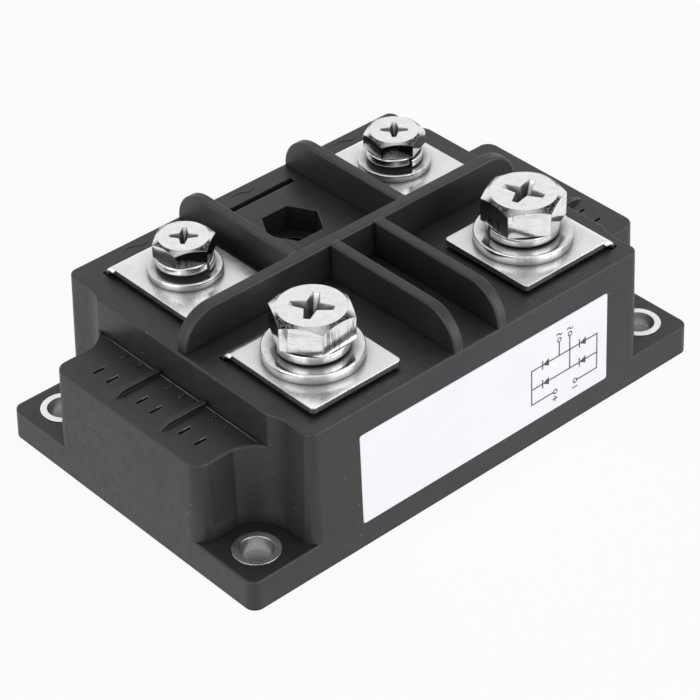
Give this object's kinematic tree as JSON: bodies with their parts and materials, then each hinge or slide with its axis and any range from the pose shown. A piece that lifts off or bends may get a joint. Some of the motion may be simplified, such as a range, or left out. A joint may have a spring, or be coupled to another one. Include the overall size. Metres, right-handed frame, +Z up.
{
  "type": "bridge rectifier module",
  "caption": "Flat power module with a black moulded housing, screw terminals between insulating walls, a metal base plate and corner mounting holes.",
  "frame": {"origin": "middle of the underside of the base plate", "axes": "+X along the long side, -Y towards the label face, +Z up through the terminals"},
  "size_m": [0.105, 0.0658, 0.04],
  "materials": {
    "housing_black": "matte moulded, fine grain",
    "plate_nickel": "nickel-plated copper, ground flat",
    "bushing_nickel": "nickel-plated, satin",
    "terminal_nickel": "nickel-plated copper strip, satin",
    "bolt_nickel": "bright nickel plating",
    "flat_washer_nickel": "bright nickel plating",
    "spring_washer_nickel": "bright nickel plating",
    "nut_nickel": "nickel-plated",
    "label_white": "coated paper, semi-matte",
    "ceramic_white": "fired alumina",
    "pad_copper": "bare copper",
    "diode_silicon": "polished silicon",
    "disc_molybdenum": "ground molybdenum",
    "strap_copper": "bare copper",
    "potting_grey": "cast compound"
  },
  "bodies": {
    "root": {"housing": "housing_black", "housing_flange": "housing_black", "shelf_left": "housing_black", "shelf_right": "housing_black", "spine": "housing_black", "wall_front_left": "housing_black", "wall_front_right": "housing_black", "wall_rear_left": "housing_black", "wall_rear_right": "housing_black", "base_plate": "plate_nickel", "bushing_1": "bushing_nickel", "bushing_2": "bushing_nickel", "bushing_3": "bushing_nickel", "bushing_4": "bushing_nickel", "terminal_plus": "terminal_nickel", "terminal_minus": "terminal_nickel", "terminal_ac_1": "terminal_nickel", "terminal_ac_2": "terminal_nickel", "bolt_plus": "bolt_nickel", "bolt_minus": "bolt_nickel", "bolt_ac_1": "bolt_nickel", "bolt_ac_2": "bolt_nickel", "flat_washer_plus": "flat_washer_nickel", "flat_washer_minus": "flat_washer_nickel", "flat_washer_ac_1": "flat_washer_nickel", "flat_washer_ac_2": "flat_washer_nickel", "spring_washer_plus": "spring_washer_nickel", "spring_washer_minus": "spring_washer_nickel", "spring_washer_ac_1": "spring_washer_nickel", "spring_washer_ac_2": "spring_washer_nickel", "nut_plus": "nut_nickel", "nut_minus": "nut_nickel", "nut_ac_1": "nut_nickel", "nut_ac_2": "nut_nickel", "label": "label_white", "ceramic": "ceramic_white", "pad_plus": "pad_copper", "pad_minus": "pad_copper", "pad_ac_1": "pad_copper", "pad_ac_2": "pad_copper", "diode_1": "diode_silicon", "diode_2": "diode_silicon", "diode_3": "diode_silicon", "diode_4": "diode_silicon", "contact_disc_1": "disc_molybdenum", "contact_disc_2": "disc_molybdenum", "contact_disc_3": "disc_molybdenum", "contact_disc_4": "disc_molybdenum", "strap_ac_1": "strap_copper", "strap_ac_2": "strap_copper", "strap_minus": "strap_copper", "potting": "potting_grey"}
  },
  "joints": []
}
